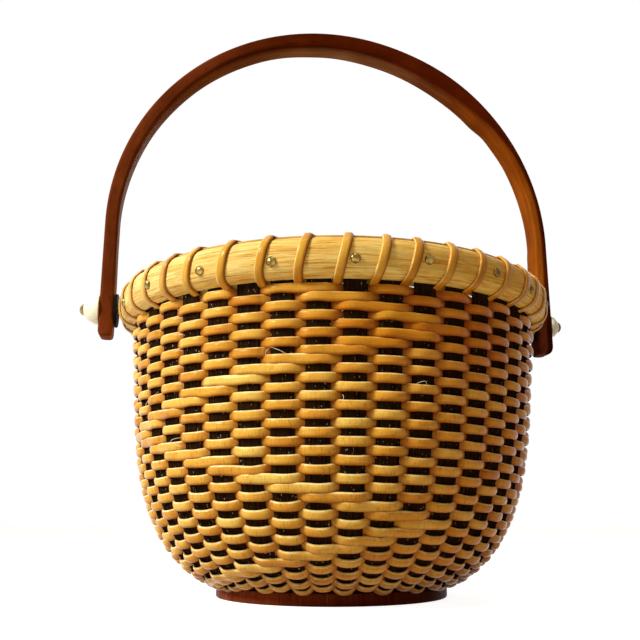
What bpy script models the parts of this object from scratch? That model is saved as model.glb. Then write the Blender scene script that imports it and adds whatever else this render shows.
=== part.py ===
"""A Nantucket lightship basket: a round, open basket on a turned hardwood base.

Tapered wooden staves stand in a groove round the base and are woven with cane.
Two hoops clamp the stave tops, a cane strip caps them, and one strand of cane
lashes hoops and cap together. A bentwood handle swings on two pivot rods with
bone knobs outside and a burr inside the rim.

Metres, +Z up. The origin is the middle of the base's flat underside, and the
handle's pivots lie along X.
"""

import math

import bmesh
import bpy
from mathutils import Vector

# Fits
CLEARANCE = 0.0003
CUT_OVERRUN = 0.004

# Staves
STAVE_COUNT = 42
STAVE_THICKNESS = 0.0011
STAVE_WIDTH = 0.0074
STAVE_FOOT_WIDTH = 0.0044
STAVE_TAPER_LENGTH = 0.036
STAVE_STATION_SHARES = (0.0, 0.08, 0.17, 0.28, 0.42, 0.64, 1.0)

# Base
BASE_RADIUS = 0.0416
BASE_EDGE_ROUND = 0.0012
GROOVE_DEPTH = 0.0050
BASE_RAIL_SETBACK = 0.0008
BASE_RAIL_HEIGHT = 0.0042
BASE_DISH_DEPTH = 0.0010
BASE_DISH_RADIUS = 0.0345
BASE_DISH_SLOPE = 0.0008

# Wall curve, followed by the outer face of the staves
WALL_FOOT_HEIGHT = 0.0044
WALL_FOOT_LEAN = math.radians(72.4)
WALL_FLARE = math.radians(5.1)
WALL_CURL_LENGTH = 0.082
WALL_CURL_POWER = 2.46
WALL_SAMPLES = 240

# Cane weave
CANE_THICKNESS = 0.00115
COURSE_PITCH = 0.00269
COURSE_COUNT = 37
FIRST_COURSE = 0.0046
WEAVE_OUTER_SKIN = 0.00042
WEAVE_INNER_SKIN = 0.00080
INNER_COURSE_STEP = 4
ZIGZAG_COURSES = 11
ZIGZAG_TOP_COURSE = 4
ZIGZAG_STAVE = 33

# Rims, cap and lashing
RIM_HEIGHT = 0.0128
RIM_EDGE = 0.0014
OUTER_RIM_CROWN = 0.0050
INNER_RIM_CROWN = 0.0040
RIM_CROWN_SHARES = ((0.0, 0.0), (0.16, 0.74), (0.5, 1.0), (0.84, 0.74), (1.0, 0.0))
CAP_WIDTH = 0.0048
CAP_THICKNESS = 0.0008
LASH_WIDTH = 0.0026
LASH_THICKNESS = 0.0008
LASH_OUTER_BAY_SHARES = (0.03, 0.10, 0.19, 0.29, 0.37)
LASH_INNER_BAY_SHARES = (0.63, 0.74, 0.81, 0.88, 0.96)

# Handle pivots
ROD_RADIUS = 0.0015
ROD_HEAD_RADIUS = 0.0021
ROD_HEAD_HEIGHT = 0.0012
WASHER_RADIUS = 0.0067
WASHER_THICKNESS = 0.0010
BURR_RADIUS = 0.0032
BURR_THICKNESS = 0.0010
KNOB_RADIUS = 0.0052
KNOB_TIP_RADIUS = 0.0025
KNOB_LENGTH = 0.0051
KNOB_PROFILE_SHARES = ((0.0, 1.0), (0.22, 0.97), (0.5, 0.74), (0.8, 0.32), (1.0, 0.0))

# Handle
HANDLE_WIDTH = 0.0092
HANDLE_END_THICKNESS = 0.0053
HANDLE_LEG_THICKNESS = 0.0051
HANDLE_GRIP_THICKNESS = 0.0080
HANDLE_END_DROP = 0.0115
HANDLE_LEG_LENGTH = 0.034
HANDLE_ARCH_RISE = 0.0866
HANDLE_EDGE_ROUND = 0.0012
HANDLE_GRIP_ROUND = 0.0032
HANDLE_TIP_ROUND_SHARE = 0.25
ARCH_SEGMENTS = 26

# Facets and shading
RING_STEPS = STAVE_COUNT
BASE_STEPS = 60
SMALL_STEPS = 16
MERGE_DISTANCE = 1e-6
SHARP_ANGLE = math.radians(30)

BAY_ANGLE = 2 * math.pi / STAVE_COUNT


def clear_scene():
    for obj in list(bpy.data.objects):
        bpy.data.objects.remove(obj, do_unlink=True)


def new_collection(name):
    group = bpy.data.collections.new(name)
    bpy.context.scene.collection.children.link(group)
    return group


def new_material(name, colour, roughness, metallic=0.0):
    made = bpy.data.materials.new(name)
    made.use_nodes = True
    shader = made.node_tree.nodes["Principled BSDF"]
    shader.inputs["Base Color"].default_value = (*colour, 1.0)
    shader.inputs["Roughness"].default_value = roughness
    shader.inputs["Metallic"].default_value = metallic
    made.diffuse_color = (*colour, 1.0)
    return made


def new_object(name, mesh, group, surface=None):
    obj = bpy.data.objects.new(name, mesh)
    group.objects.link(obj)
    if surface:
        mesh.materials.append(surface)
    return obj


def add_loft(surface_mesh, rings, closed):
    """Skins equal rings of points, joined end to start where closed, else capped."""
    loops = [[surface_mesh.verts.new(point) for point in ring] for ring in rings]
    following = loops[1:] + loops[:1] if closed else loops[1:]
    for ring, beyond in zip(loops, following):
        for i, corner in enumerate(ring):
            j = (i + 1) % len(ring)
            surface_mesh.faces.new((corner, ring[j], beyond[j], beyond[i]))
    if not closed:
        surface_mesh.faces.new(list(reversed(loops[0])))
        surface_mesh.faces.new(loops[-1])


def loft_mesh(name, all_rings, closed=False):
    """One mesh holding a loft for each list of rings."""
    shape = bmesh.new()
    for rings in all_rings:
        add_loft(shape, rings, closed)
    bmesh.ops.recalc_face_normals(shape, faces=shape.faces)
    mesh = bpy.data.meshes.new(name)
    shape.to_mesh(mesh)
    shape.free()
    return mesh


def turned(name, profile, group, surface, steps, ring=False):
    """Turns a profile of (radius, height) points about Z, listed down its outer side."""
    mesh = bpy.data.meshes.new(name)
    count = len(profile)
    edges = [(i, i + 1) for i in range(count - 1)]
    if ring:
        edges.append((count - 1, 0))
    mesh.from_pydata([(radius, 0.0, height) for radius, height in profile], edges, [])
    obj = new_object(name, mesh, group, surface)
    screw = obj.modifiers.new("turn", "SCREW")
    screw.axis = "Z"
    screw.angle = 2 * math.pi
    screw.steps = steps
    screw.render_steps = steps
    screw.use_merge_vertices = True
    screw.merge_threshold = MERGE_DISTANCE
    screw.use_smooth_shade = True
    return obj


def bore(obj, cutter):
    cut = obj.modifiers.new("bore", "BOOLEAN")
    cut.operation = "DIFFERENCE"
    cut.solver = "EXACT"
    cut.object = cutter


def wall_samples():
    """(distance along the wall, radius, height) from the base's edge up to the end of the curl."""
    step = WALL_CURL_LENGTH / WALL_SAMPLES
    radius, height = BASE_RADIUS, WALL_FOOT_HEIGHT
    samples = [(0.0, radius, height)]
    for i in range(WALL_SAMPLES):
        lean = wall_lean((i + 0.5) * step)
        radius += step * math.sin(lean)
        height += step * math.cos(lean)
        samples.append(((i + 1) * step, radius, height))
    return samples


def wall_lean(along):
    """How far the wall leans out from the vertical, at a distance up from the base's edge."""
    if along < 0:
        return math.pi / 2
    left = max(0.0, 1 - along / WALL_CURL_LENGTH)
    return WALL_FLARE + (WALL_FOOT_LEAN - WALL_FLARE) * left**WALL_CURL_POWER


WALL = wall_samples()


def wall_point(along, out=0.0):
    """(radius, height) of a point up the wall and out from the staves' outer face."""
    lean = wall_lean(along)
    if along <= 0:
        radius, height = BASE_RADIUS + along, WALL_FOOT_HEIGHT
    elif along >= WALL_CURL_LENGTH:
        beyond = along - WALL_CURL_LENGTH
        radius = WALL[-1][1] + beyond * math.sin(lean)
        height = WALL[-1][2] + beyond * math.cos(lean)
    else:
        place = along / WALL_CURL_LENGTH * WALL_SAMPLES
        low = int(place)
        share = place - low
        radius = WALL[low][1] * (1 - share) + WALL[low + 1][1] * share
        height = WALL[low][2] * (1 - share) + WALL[low + 1][2] * share
    return radius + out * math.cos(lean), height - out * math.sin(lean)


def around(radius, height, angle, aside=0.0):
    """The point at a radius and angle, moved aside along the tangent."""
    return Vector(
        (
            radius * math.cos(angle) - aside * math.sin(angle),
            radius * math.sin(angle) + aside * math.cos(angle),
            height,
        )
    )


# Distances up the wall that the pieces share
LAST_COURSE = FIRST_COURSE + (COURSE_COUNT - 1) * COURSE_PITCH
WEAVE_TOP = LAST_COURSE + COURSE_PITCH / 2
WEAVE_FOOT = FIRST_COURSE - COURSE_PITCH / 2
RIM_FOOT = WEAVE_TOP + LASH_THICKNESS + 2 * CLEARANCE
RIM_TOP = RIM_FOOT + RIM_HEIGHT
RIM_MIDDLE = RIM_FOOT + RIM_HEIGHT / 2
PIVOT_HEIGHT = wall_point(RIM_MIDDLE)[1]

# Places along the pivot axis, from the inside out
OUTER_RIM_FACE = wall_point(RIM_MIDDLE, CLEARANCE + OUTER_RIM_CROWN)[0]
INNER_RIM_FACE = wall_point(RIM_MIDDLE, -STAVE_THICKNESS - CLEARANCE - INNER_RIM_CROWN)[0]
BURR_FACE = INNER_RIM_FACE - 2 * CLEARANCE - LASH_THICKNESS
WASHER_FACE = OUTER_RIM_FACE + 2 * CLEARANCE + LASH_THICKNESS
HANDLE_FACE = WASHER_FACE + WASHER_THICKNESS + CLEARANCE
KNOB_FACE = HANDLE_FACE + HANDLE_END_THICKNESS + CLEARANCE
ROD_HEAD_FACE = KNOB_FACE + KNOB_LENGTH + CLEARANCE
HOLE_RADIUS = ROD_RADIUS + CLEARANCE


def make_base(group, surface):
    """The turned disc: a flat foot, a groove for the stave ends and a dished top inside its rail."""
    groove_floor = WALL_FOOT_HEIGHT - CLEARANCE
    groove_roof = WALL_FOOT_HEIGHT + STAVE_THICKNESS + CLEARANCE
    groove_radius = BASE_RADIUS - GROOVE_DEPTH - CLEARANCE
    rail_radius = BASE_RADIUS - BASE_RAIL_SETBACK
    top = groove_roof + BASE_RAIL_HEIGHT
    corner = 1 - math.sqrt(0.5)
    profile = [
        (0.0, top - BASE_DISH_DEPTH),
        (BASE_DISH_RADIUS - BASE_DISH_SLOPE, top - BASE_DISH_DEPTH),
        (BASE_DISH_RADIUS, top),
        (rail_radius - BASE_EDGE_ROUND, top),
        (rail_radius - BASE_EDGE_ROUND * corner, top - BASE_EDGE_ROUND * corner),
        (rail_radius, top - BASE_EDGE_ROUND),
        (rail_radius, groove_roof),
        (groove_radius, groove_roof),
        (groove_radius, groove_floor),
        (BASE_RADIUS, groove_floor),
        (BASE_RADIUS, BASE_EDGE_ROUND),
        (BASE_RADIUS - BASE_EDGE_ROUND * corner, BASE_EDGE_ROUND * corner),
        (BASE_RADIUS - BASE_EDGE_ROUND, 0.0),
        (0.0, 0.0),
    ]
    return turned("base", profile, group, surface, BASE_STEPS)


def stave_width(along):
    """Staves taper towards the base, where they stand close together."""
    share = min(1.0, max(0.0, along / STAVE_TAPER_LENGTH))
    return STAVE_FOOT_WIDTH + (STAVE_WIDTH - STAVE_FOOT_WIDTH) * math.sin(share * math.pi / 2)


def stave_stations():
    return [share * RIM_TOP for share in STAVE_STATION_SHARES]


def stave_rings(angle, stations, growth=0.0):
    """Sections of one stave, made larger all round by the growth."""
    rings = []
    for along in stations:
        half = stave_width(along) / 2 + growth
        outer = wall_point(along, growth)
        inner = wall_point(along, -STAVE_THICKNESS - growth)
        rings.append(
            [
                around(*outer, angle, -half),
                around(*outer, angle, half),
                around(*inner, angle, half),
                around(*inner, angle, -half),
            ]
        )
    return rings


def make_staves(group, surface, pivot_cutter):
    """Each stave runs from the base's groove up between the rims. The two at the pivots are bored."""
    for number in range(STAVE_COUNT):
        name = f"stave_{number + 1:02d}"
        stations = [-GROOVE_DEPTH] + stave_stations()
        mesh = loft_mesh(name, [stave_rings(number * BAY_ANGLE, stations)])
        obj = new_object(name, mesh, group, surface)
        if number % (STAVE_COUNT // 2) == 0:
            bore(obj, pivot_cutter)


def is_over(stave, course):
    """Whether the cane passes outside a stave. Courses count down from the rim.

    The strand goes over one and under one. As the stave count is even, each course
    also has one double float over two staves, which steps to the side by one stave
    a course and draws a zigzag down the wall.
    """
    turn = (course - ZIGZAG_TOP_COURSE) % (2 * ZIGZAG_COURSES)
    double = ZIGZAG_STAVE - min(turn, 2 * ZIGZAG_COURSES - turn)
    past = (stave - double + STAVE_COUNT // 2) % STAVE_COUNT - STAVE_COUNT // 2
    return past % 2 == 0 if past <= 0 else past % 2 == 1


def weave_section(stave):
    """The wall's closed section at one stave: down the courses outside, then up the plain inside."""
    angle = stave * BAY_ANGLE
    under = CLEARANCE + WEAVE_OUTER_SKIN
    over = CLEARANCE + CANE_THICKNESS
    inside = -STAVE_THICKNESS - CLEARANCE - WEAVE_INNER_SKIN
    outline = [wall_point(WEAVE_TOP, under)]
    for course in range(COURSE_COUNT):
        out = over if is_over(stave, course) else under
        outline.append(wall_point(LAST_COURSE - course * COURSE_PITCH, out))
    outline.append(wall_point(WEAVE_FOOT, under))
    outline.append(wall_point(WEAVE_FOOT, inside))
    for course in range(INNER_COURSE_STEP, COURSE_COUNT - 1, INNER_COURSE_STEP):
        outline.append(wall_point(FIRST_COURSE + course * COURSE_PITCH, inside))
    outline.append(wall_point(WEAVE_TOP, inside))
    return [around(radius, height, angle) for radius, height in outline]


def make_weave(group, cutters, surface):
    """The cane wall, with its floats raised over the staves and a channel along each stave."""
    sections = [weave_section(stave) for stave in range(STAVE_COUNT)]
    weave = new_object("cane_weave", loft_mesh("cane_weave", [sections], closed=True), group, surface)
    stations = stave_stations()
    channels = [
        stave_rings(stave * BAY_ANGLE, stations, CLEARANCE) for stave in range(STAVE_COUNT)
    ]
    channel_cutter = new_object("stave_channels", loft_mesh("stave_channels", channels), cutters)
    bore(weave, channel_cutter)
    return weave


def rim_ring(name, seat, crown, side, group, surface):
    """A half round hoop. It seats on the staves and swells to its crown, out for side 1."""
    swell = [
        (RIM_FOOT + share * RIM_HEIGHT, seat + side * (RIM_EDGE + (crown - RIM_EDGE) * rise))
        for share, rise in RIM_CROWN_SHARES
    ]
    outline = [(RIM_FOOT, seat)] + swell + [(RIM_TOP, seat)]
    profile = [wall_point(along, out) for along, out in outline]
    if side > 0:
        profile.reverse()
    obj = turned(name, profile, group, surface, RING_STEPS, ring=True)
    obj.rotation_euler.z = BAY_ANGLE / 2
    return obj


def make_rims(group, surface, pivot_cutter):
    outer = rim_ring("outer_rim", CLEARANCE, OUTER_RIM_CROWN, 1, group, surface)
    inner_seat = -STAVE_THICKNESS - CLEARANCE
    inner = rim_ring("inner_rim", inner_seat, INNER_RIM_CROWN, -1, group, surface)
    bore(outer, pivot_cutter)
    bore(inner, pivot_cutter)


def cap_edges():
    """How far out the cap's outer and inner edges lie."""
    middle = -STAVE_THICKNESS / 2
    return middle + CAP_WIDTH / 2, middle - CAP_WIDTH / 2


def make_cap(group, surface):
    """The flat cane strip laid over the gap between the rims."""
    outer, inner = cap_edges()
    foot = RIM_TOP + CLEARANCE
    top = foot + CAP_THICKNESS
    profile = [
        wall_point(top, inner),
        wall_point(top, outer),
        wall_point(foot, outer),
        wall_point(foot, inner),
    ]
    obj = turned("rim_cap", profile, group, surface, RING_STEPS, ring=True)
    obj.rotation_euler.z = BAY_ANGLE / 2


def lash_loop():
    """One wrap of the lashing as (bay share, distance up, distance out), from under the rims."""
    lift = CLEARANCE + LASH_THICKNESS / 2
    foot = RIM_FOOT - lift
    cap_top = RIM_TOP + CLEARANCE + CAP_THICKNESS + lift
    cap_outer, cap_inner = cap_edges()
    outer_seat = CLEARANCE
    inner_seat = -STAVE_THICKNESS - CLEARANCE
    outside, inside = [], []
    for share, rise in RIM_CROWN_SHARES[:-1]:
        out = RIM_EDGE + lift + (OUTER_RIM_CROWN - RIM_EDGE) * rise
        within = RIM_EDGE + lift + (INNER_RIM_CROWN - RIM_EDGE) * rise
        along = RIM_FOOT + share * RIM_HEIGHT if rise else foot
        outside.append((along, outer_seat + out))
        inside.append((along, inner_seat - within))
    outside.append((cap_top, cap_outer + lift))
    inside.append((cap_top, cap_inner - lift))
    loop = [(0.0, foot, -STAVE_THICKNESS / 2)]
    loop += [(share, *place) for share, place in zip(LASH_OUTER_BAY_SHARES, outside)]
    loop += [(share, *place) for share, place in zip(LASH_INNER_BAY_SHARES, reversed(inside))]
    return loop


def lash_path():
    """Points of the whole lashing with, at each, the direction that faces away from the rims."""
    loop = lash_loop()
    count = len(loop)
    facing = []
    for i, (_, along, out) in enumerate(loop):
        _, before_along, before_out = loop[i - 1]
        _, after_along, after_out = loop[(i + 1) % count]
        facing.append(Vector((after_along - before_along, before_out - after_out)).normalized())
    points = []
    for bay in range(STAVE_COUNT):
        for (share, along, out), (face_out, face_up) in zip(loop, facing):
            angle = (bay - 0.5 + share) * BAY_ANGLE
            here = around(*wall_point(along, out), angle)
            outward = around(*wall_point(along, out + face_out * CLEARANCE), angle) - here
            upward = around(*wall_point(along + face_up * CLEARANCE, out), angle) - here
            points.append((here, (outward + upward).normalized()))
    return points


def least_lash_gap(points):
    """The smallest gap between one wrap of the lashing and the next, measured on its points."""
    count = len(lash_loop())
    first = [point for point, _ in points[:count]]
    second = [point for point, _ in points[count : 2 * count]]
    apart = min((a - b).length for a in first[1:-1] for b in second[1:-1])
    return apart - LASH_WIDTH


def make_lashing(group, surface):
    """One closed strand of cane, wound round rims and cap once in each bay between two staves."""
    points = lash_path()
    rings = []
    for i, (here, face) in enumerate(points):
        ahead = (points[(i + 1) % len(points)][0] - points[i - 1][0]).normalized()
        aside = ahead.cross(face).normalized() * (LASH_WIDTH / 2)
        depth = aside.cross(ahead).normalized() * (LASH_THICKNESS / 2)
        rings.append(
            [
                here - aside - depth,
                here + aside - depth,
                here + aside + depth,
                here - aside + depth,
            ]
        )
    new_object("lashing", loft_mesh("lashing", [rings], closed=True), group, surface)
    print(f"least gap between wraps of the lashing: {least_lash_gap(points) * 1000:.2f} mm")


def rounded_section(width, thickness, outer_radius, inner_radius):
    """Corners of a rounded rectangle as (across, through) pairs, three to each corner."""
    corners = []
    for turn in range(4):
        sign_across = 1 if turn in (0, 3) else -1
        sign_through = 1 if turn in (0, 1) else -1
        radius = outer_radius if sign_through > 0 else inner_radius
        for step in range(3):
            angle = (turn + step / 2) * math.pi / 2
            corners.append(
                (
                    sign_across * (width / 2 - radius) + radius * math.cos(angle),
                    sign_through * (thickness / 2 - radius) + radius * math.sin(angle),
                )
            )
    return corners


def handle_stations():
    """(x, z, outward direction, thickness, inner corner radius, inset), with z above the pivots."""
    middle = HANDLE_FACE + HANDLE_END_THICKNESS / 2
    inset = HANDLE_EDGE_ROUND
    leg = [
        (-HANDLE_END_DROP, HANDLE_END_THICKNESS, inset),
        (-HANDLE_END_DROP + inset, HANDLE_END_THICKNESS, 0.0),
        (HANDLE_END_DROP, HANDLE_END_THICKNESS, 0.0),
    ]
    right = [
        (middle, height, 0.0, thickness, HANDLE_EDGE_ROUND, cut)
        for height, thickness, cut in leg
    ]
    arch = []
    for step in range(ARCH_SEGMENTS + 1):
        turn = math.pi * step / ARCH_SEGMENTS
        grip = math.sin(turn) ** 2
        thickness = HANDLE_LEG_THICKNESS + (HANDLE_GRIP_THICKNESS - HANDLE_LEG_THICKNESS) * grip
        radius = HANDLE_EDGE_ROUND + (HANDLE_GRIP_ROUND - HANDLE_EDGE_ROUND) * grip
        height = HANDLE_LEG_LENGTH + HANDLE_ARCH_RISE * math.sin(turn)
        arch.append((middle * math.cos(turn), height, turn, thickness, radius, 0.0))
    left = [
        (-x, z, math.pi, thickness, radius, cut)
        for x, z, _, thickness, radius, cut in reversed(right)
    ]
    return right + arch + left


def make_handle(group, surface, pivot_cutter):
    """The bentwood bail: flat ends, straight legs and an arch that swells to a round grip."""
    rings = []
    for x, z, turn, thickness, radius, inset in handle_stations():
        outward = Vector((math.cos(turn), 0.0, math.sin(turn)))
        outer, inner = (
            max(size - inset, size * HANDLE_TIP_ROUND_SHARE) for size in (HANDLE_EDGE_ROUND, radius)
        )
        section = rounded_section(HANDLE_WIDTH - 2 * inset, thickness - 2 * inset, outer, inner)
        centre = Vector((x, 0.0, z))
        rings.append(
            [
                centre + outward * through + Vector((0.0, across, 0.0))
                for across, through in section
            ]
        )
    handle = new_object("handle", loft_mesh("handle", [rings]), group, surface)
    handle.location.z = PIVOT_HEIGHT
    bore(handle, pivot_cutter)


def make_pivot(side, name, group, surfaces):
    """The rod with its domed head, the knob, the washer and the burr of one side, 1 for +X."""
    dome = math.cos(math.pi / 4)
    rod_tail = BURR_FACE - BURR_THICKNESS - 2 * CLEARANCE
    peen_face = rod_tail + CLEARANCE
    peen_end = peen_face - ROD_HEAD_HEIGHT
    rod = [
        (0.0, ROD_HEAD_FACE + ROD_HEAD_HEIGHT),
        (ROD_HEAD_RADIUS * dome, ROD_HEAD_FACE + ROD_HEAD_HEIGHT * dome),
        (ROD_HEAD_RADIUS, ROD_HEAD_FACE),
        (ROD_RADIUS, ROD_HEAD_FACE),
        (ROD_RADIUS, peen_face),
        (ROD_HEAD_RADIUS, peen_face),
        (ROD_HEAD_RADIUS * dome, peen_face - ROD_HEAD_HEIGHT * dome),
        (0.0, peen_end),
    ]
    knob_outside = [
        (
            KNOB_TIP_RADIUS + (KNOB_RADIUS - KNOB_TIP_RADIUS) * share,
            KNOB_FACE + KNOB_LENGTH * along,
        )
        for along, share in reversed(KNOB_PROFILE_SHARES)
    ]
    knob = [(HOLE_RADIUS, KNOB_FACE + KNOB_LENGTH)] + knob_outside + [(HOLE_RADIUS, KNOB_FACE)]
    washer = disc_profile(WASHER_FACE, WASHER_FACE + WASHER_THICKNESS, WASHER_RADIUS)
    burr = disc_profile(BURR_FACE - BURR_THICKNESS, BURR_FACE, BURR_RADIUS)
    pieces = (
        ("pivot_rod", rod, "brass", False),
        ("knob", knob, "bone", True),
        ("washer", washer, "ebony", True),
        ("burr", burr, "brass", True),
    )
    for piece, profile, surface, ring in pieces:
        obj = turned(f"{piece}_{name}", profile, group, surfaces[surface], SMALL_STEPS, ring)
        obj.rotation_euler.y = side * math.pi / 2
        obj.location.z = PIVOT_HEIGHT


def disc_profile(low, high, radius):
    """A bored disc between two places along the pivot axis."""
    return [(HOLE_RADIUS, high), (radius, high), (radius, low), (HOLE_RADIUS, low)]


def make_pivot_cutter(cutters):
    """A bar along the pivot axis that bores rims, staves and handle."""
    length = 2 * (KNOB_FACE + CUT_OVERRUN)
    shape = bmesh.new()
    bmesh.ops.create_cone(
        shape,
        cap_ends=True,
        segments=SMALL_STEPS,
        radius1=HOLE_RADIUS,
        radius2=HOLE_RADIUS,
        depth=length,
    )
    mesh = bpy.data.meshes.new("pivot_bore")
    shape.to_mesh(mesh)
    shape.free()
    cutter = new_object("pivot_bore", mesh, cutters)
    cutter.rotation_euler.y = math.pi / 2
    cutter.location.z = PIVOT_HEIGHT
    return cutter


def hide_cutters(cutters):
    cutters.hide_render = True
    for obj in cutters.objects:
        obj.hide_render = True
        obj.display_type = "WIRE"


def shade(group):
    for obj in group.objects:
        obj.data.shade_smooth()
        obj.data.set_sharp_from_angle(angle=SHARP_ANGLE)


def main():
    clear_scene()
    group = new_collection("lightship_basket")
    cutters = new_collection("cutters")
    dark_wood = new_material("dark_hardwood", (0.13, 0.030, 0.012), 0.35)
    stave_wood = new_material("dark_staves", (0.022, 0.016, 0.012), 0.55)
    cane = new_material("golden_cane", (0.68, 0.36, 0.09), 0.40)
    hoop_wood = new_material("pale_hoop_wood", (0.74, 0.52, 0.24), 0.45)
    surfaces = {
        "brass": new_material("brass", (0.72, 0.52, 0.20), 0.25, 1.0),
        "bone": new_material("bone", (0.86, 0.83, 0.68), 0.30),
        "ebony": new_material("ebony", (0.018, 0.015, 0.012), 0.45),
    }
    pivot_cutter = make_pivot_cutter(cutters)
    make_base(group, dark_wood)
    make_staves(group, stave_wood, pivot_cutter)
    make_weave(group, cutters, cane)
    make_rims(group, hoop_wood, pivot_cutter)
    make_cap(group, cane)
    make_lashing(group, cane)
    make_handle(group, dark_wood, pivot_cutter)
    make_pivot(1, "right", group, surfaces)
    make_pivot(-1, "left", group, surfaces)
    shade(group)
    hide_cutters(cutters)


main()
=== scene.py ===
"""The looks of a round lightship basket: woven cane wall, lashed rim and swing handle.

Metres, +Z up. The basket stands on the origin and the handle's pivots lie along X.
"""

import math
import random

import bmesh
import bpy
from mathutils import Matrix, Vector
from mathutils.geometry import convex_hull_2d


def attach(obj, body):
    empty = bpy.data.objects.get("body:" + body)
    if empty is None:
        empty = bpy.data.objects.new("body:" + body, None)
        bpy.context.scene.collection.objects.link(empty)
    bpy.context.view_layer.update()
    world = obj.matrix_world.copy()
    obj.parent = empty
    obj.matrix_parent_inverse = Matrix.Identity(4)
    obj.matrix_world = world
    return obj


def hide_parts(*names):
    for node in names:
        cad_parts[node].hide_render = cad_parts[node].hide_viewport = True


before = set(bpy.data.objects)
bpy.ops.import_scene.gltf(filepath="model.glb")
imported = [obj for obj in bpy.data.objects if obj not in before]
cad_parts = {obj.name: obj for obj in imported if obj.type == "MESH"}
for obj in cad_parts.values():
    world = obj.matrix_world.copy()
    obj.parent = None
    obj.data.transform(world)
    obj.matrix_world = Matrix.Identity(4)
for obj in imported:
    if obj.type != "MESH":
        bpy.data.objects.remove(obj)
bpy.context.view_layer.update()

# Staves
STAVE_COUNT = 42
BAY = 2 * math.pi / STAVE_COUNT
STAVE_THICKNESS = 0.0011
STAVE_WIDTH = 0.0074
STAVE_FOOT_WIDTH = 0.0044
STAVE_TAPER_LENGTH = 0.036
GROOVE_DEPTH = 0.0050

# Base
BASE_RADIUS = 0.0416
BASE_TOP = 0.0100
BASE_TOP_RADIUS = 0.0408
GROOVE_FLOOR = 0.0041
GROOVE_ROOF = 0.0058

# Wall curve, followed by the outer face of the staves
WALL_FOOT_HEIGHT = 0.0044
WALL_FOOT_LEAN = math.radians(72.4)
WALL_FLARE = math.radians(5.1)
WALL_CURL_LENGTH = 0.082
WALL_CURL_POWER = 2.46
WALL_SAMPLES = 480

# Cane weave
CANE_WIDTH = 0.00298
CANE_CROSSING_WIDTH = 0.0034
CANE_INSIDE_WIDTH = 0.0031
CANE_THICKNESS = 0.00115
COURSE_PITCH = 0.00269
COURSE_COUNT = 37
LAST_BAYS = 58
TUCKED_FROM = 27
TUCKED_FOOT = 0.0003
LOWEST_COURSE = 0.0016
FIRST_COURSE = 0.0046
RINGS_TO_A_BAY = 8
FIRST_COLUMN = -15
FRONT_SHARE = 0.486
COLUMN_TO_STAVE = -17
STAND_OFF = 0.00040

# Rims, cap and lashing
SEAT_GAP = 0.0003
RIM_FOOT = 0.104185
RIM_HEIGHT = 0.0128
OUTER_CROWN = 0.0050
INNER_CROWN = 0.0040
CAP_WIDTH = 0.0040
CAP_THICKNESS = 0.0006
CAP_RISE = 0.0004
INNER_HOOP_DROP = 0.0010
LASH_WIDTH = 0.0030
LASH_THICKNESS = 0.00085
# Where the visible wraps and pins stray from their even places, in bays and metres
WRAP_DRIFTS = {
    24: 0.0, 25: -0.03, 26: -0.06, 27: -0.13, 28: 0.0, 29: 0.08, 30: 0.10, 31: 0.15, 32: 0.15,
    33: 0.0, 34: 0.0, 35: -0.02, 36: 0.03, 37: 0.03, 38: -0.12, 39: -0.2,
}
PIN_DRIFTS = {
    23: (-0.35, -0.0014), 25: (-0.34, -0.0008), 27: (-0.20, -0.0014), 29: (-0.15, -0.0016),
    31: (-0.06, -0.0012), 33: (-0.15, -0.0001), 35: (0.06, 0.0), 37: (-0.06, -0.0007),
}

# Pivots and handle
PIVOT_HEIGHT = 0.103359
HANDLE_WIDTH = 0.0092
WASHER_THICKNESS = 0.0010
EAR_THICKNESS = 0.0053
RIGHT_EAR_EXTRA = 0.0008
LEG_THICKNESS = 0.0051
GRIP_THICKNESS = 0.0080
LEFT_EAR_DROP = 0.0106
RIGHT_EAR_DROP = 0.0121
LEFT_EAR_CORNER = (0.0024, 0.0015)
RIGHT_EAR_CORNER = (0.0034, 0.0023)
LEG_LENGTH = 0.034
ARCH_RISE = 0.0869
LEFT_KNOB = (0.0059, 0.0056)
RIGHT_KNOB = (0.0040, 0.0048)

# The basket is a little askew, as woven ones are: its top leans this far to +X
ASKEW = 0.0008


def wall_lean(along):
    if along < 0:
        return math.pi / 2
    left = max(0.0, 1 - along / WALL_CURL_LENGTH)
    return WALL_FLARE + (WALL_FOOT_LEAN - WALL_FLARE) * left**WALL_CURL_POWER


def wall_table():
    step = WALL_CURL_LENGTH / WALL_SAMPLES
    radius, height = BASE_RADIUS, WALL_FOOT_HEIGHT
    table = [(radius, height)]
    for i in range(WALL_SAMPLES):
        lean = wall_lean((i + 0.5) * step)
        radius += step * math.sin(lean)
        height += step * math.cos(lean)
        table.append((radius, height))
    return table


WALL = wall_table()


def wall(along, out=0.0):
    """(radius, height) at a distance up the wall and out from the staves' outer face."""
    lean = wall_lean(along)
    if along <= 0:
        radius, height = BASE_RADIUS + along, WALL_FOOT_HEIGHT
    elif along >= WALL_CURL_LENGTH:
        beyond = along - WALL_CURL_LENGTH
        radius = WALL[-1][0] + beyond * math.sin(lean)
        height = WALL[-1][1] + beyond * math.cos(lean)
    else:
        place = along / WALL_CURL_LENGTH * WALL_SAMPLES
        low = min(int(place), WALL_SAMPLES - 1)
        share = place - low
        radius = WALL[low][0] * (1 - share) + WALL[low + 1][0] * share
        height = WALL[low][1] * (1 - share) + WALL[low + 1][1] * share
    return radius + out * math.cos(lean), height - out * math.sin(lean)


def askew(height):
    return ASKEW * ease((height - 0.03) / 0.07)


def around(radius, height, angle, aside=0.0):
    return Vector(
        (
            askew(height) + radius * math.cos(angle) - aside * math.sin(angle),
            radius * math.sin(angle) + aside * math.cos(angle),
            height,
        )
    )


def blend(low, high, share):
    return low + (high - low) * share


def ease(share):
    share = min(1.0, max(0.0, share))
    return share * share * (3 - 2 * share)


# Finishes: small helpers for shader nodes


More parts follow.
